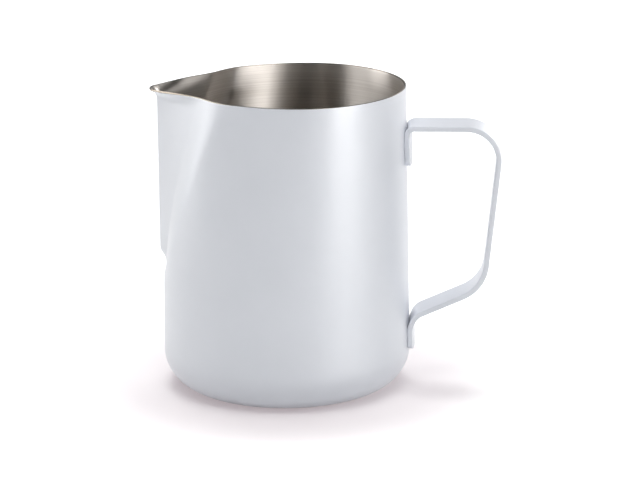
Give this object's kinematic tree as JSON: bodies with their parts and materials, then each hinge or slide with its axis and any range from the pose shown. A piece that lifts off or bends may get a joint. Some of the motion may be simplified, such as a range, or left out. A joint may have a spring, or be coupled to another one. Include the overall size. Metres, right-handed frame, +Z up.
{
  "type": "milk frothing jug",
  "caption": "Open steel milk jug with a tapered round body, a pressed V-shaped pouring spout with a curled lip, and a flat bent strap handle.",
  "frame": {"origin": "on the jug's axis, in the plane that its base stands on", "axes": "+X from the jug's axis towards the handle, so the spout points along -X; +Z up; Y across the jug, which is symmetric about the XZ plane"},
  "size_m": [0.1261, 0.0892, 0.11],
  "materials": {
    "white_coat": "satin white powder coat with a faint cool cast",
    "bare_steel": "bare stainless steel, brushed round the axis inside the jug"
  },
  "bodies": {
    "root": {"jug_body": "white_coat", "handle": "white_coat", "spot_welds": "bare_steel"}
  },
  "joints": []
}
